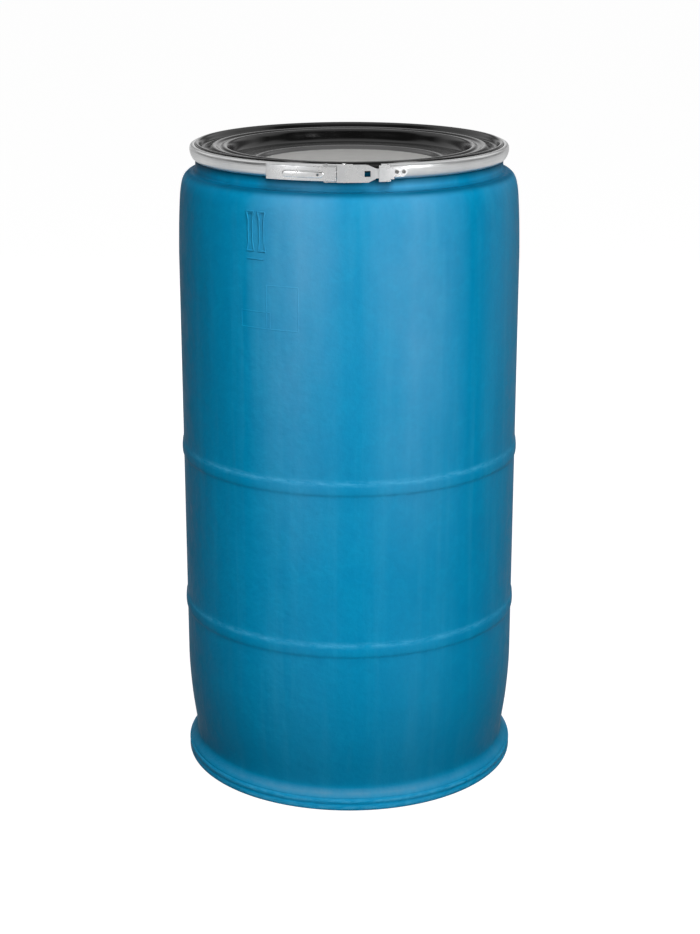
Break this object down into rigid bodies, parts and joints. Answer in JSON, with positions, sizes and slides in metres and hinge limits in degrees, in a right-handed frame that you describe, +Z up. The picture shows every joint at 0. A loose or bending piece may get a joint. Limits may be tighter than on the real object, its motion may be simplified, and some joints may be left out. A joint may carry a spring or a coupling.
{
  "type": "open-head drum",
  "caption": "Tall blue plastic open-head drum with a sunk black lid, a gasket and a split steel closing ring with an over-centre lever lock.",
  "frame": {"origin": "centre of the drum's base, on the surface that it stands on", "axes": "+Z up along the drum's axis, -Y towards the latch, +X to the right of someone who faces the latch"},
  "size_m": [0.504, 0.504, 0.948],
  "materials": {
    "drum_plastic": "fine-grained blow-moulded polyethylene",
    "lid_plastic": "glossy moulded polyethylene",
    "gasket_rubber": "soft foam rubber",
    "ring_steel": "satin galvanised strip",
    "latch_steel": "bright zinc-plated pressings"
  },
  "bodies": {
    "drum": {"drum_body": "drum_plastic"},
    "lid": {"lid": "lid_plastic", "gasket": "gasket_rubber"},
    "clamp_ring": {"ring_band": "ring_steel", "pivot_bracket": "latch_steel", "bracket_rivet_1": "latch_steel", "bracket_rivet_2": "latch_steel", "pivot_pin": "latch_steel"},
    "ring_end": {"anchor_plate": "latch_steel", "anchor_pin": "latch_steel", "anchor_rivet_1": "latch_steel", "anchor_rivet_2": "latch_steel"},
    "lever": {"lever": "latch_steel", "link_pin": "latch_steel"},
    "link": {"link": "latch_steel"}
  },
  "joints": [
    {"name": "lid_lift", "type": "slide", "parent": "drum", "child": "lid", "axis": [0, 0, 1], "range_m": [0, 0.2]},
    {"name": "ring_lift", "type": "slide", "parent": "drum", "child": "clamp_ring", "axis": [0, 0, 1], "range_m": [0, 0.35]},
    {"name": "lever_swing", "type": "hinge", "parent": "clamp_ring", "child": "lever", "pos_m": [-0.00696, -0.2369, 0.9352], "axis": [0, 0, 1], "range_deg": [0, 140]},
    {"name": "link_swing", "type": "hinge", "parent": "lever", "child": "link", "pos_m": [-0.03098, -0.23698, 0.9352], "axis": [0, 0, 1], "range_deg": [-125.3, 0]},
    {"name": "ring_spread", "type": "hinge", "parent": "clamp_ring", "child": "ring_end", "pos_m": [0, 0.2315, 0.9352], "axis": [0, 0, 1], "range_deg": [0, 4.79], "deforming": ["ring_band"]}
  ],
  "couplings": [
    {"joint": "link_swing", "follows": "lever_swing", "ratio": -0.8946},
    {"joint": "ring_spread", "follows": "lever_swing", "ratio": 0.034194}
  ]
}
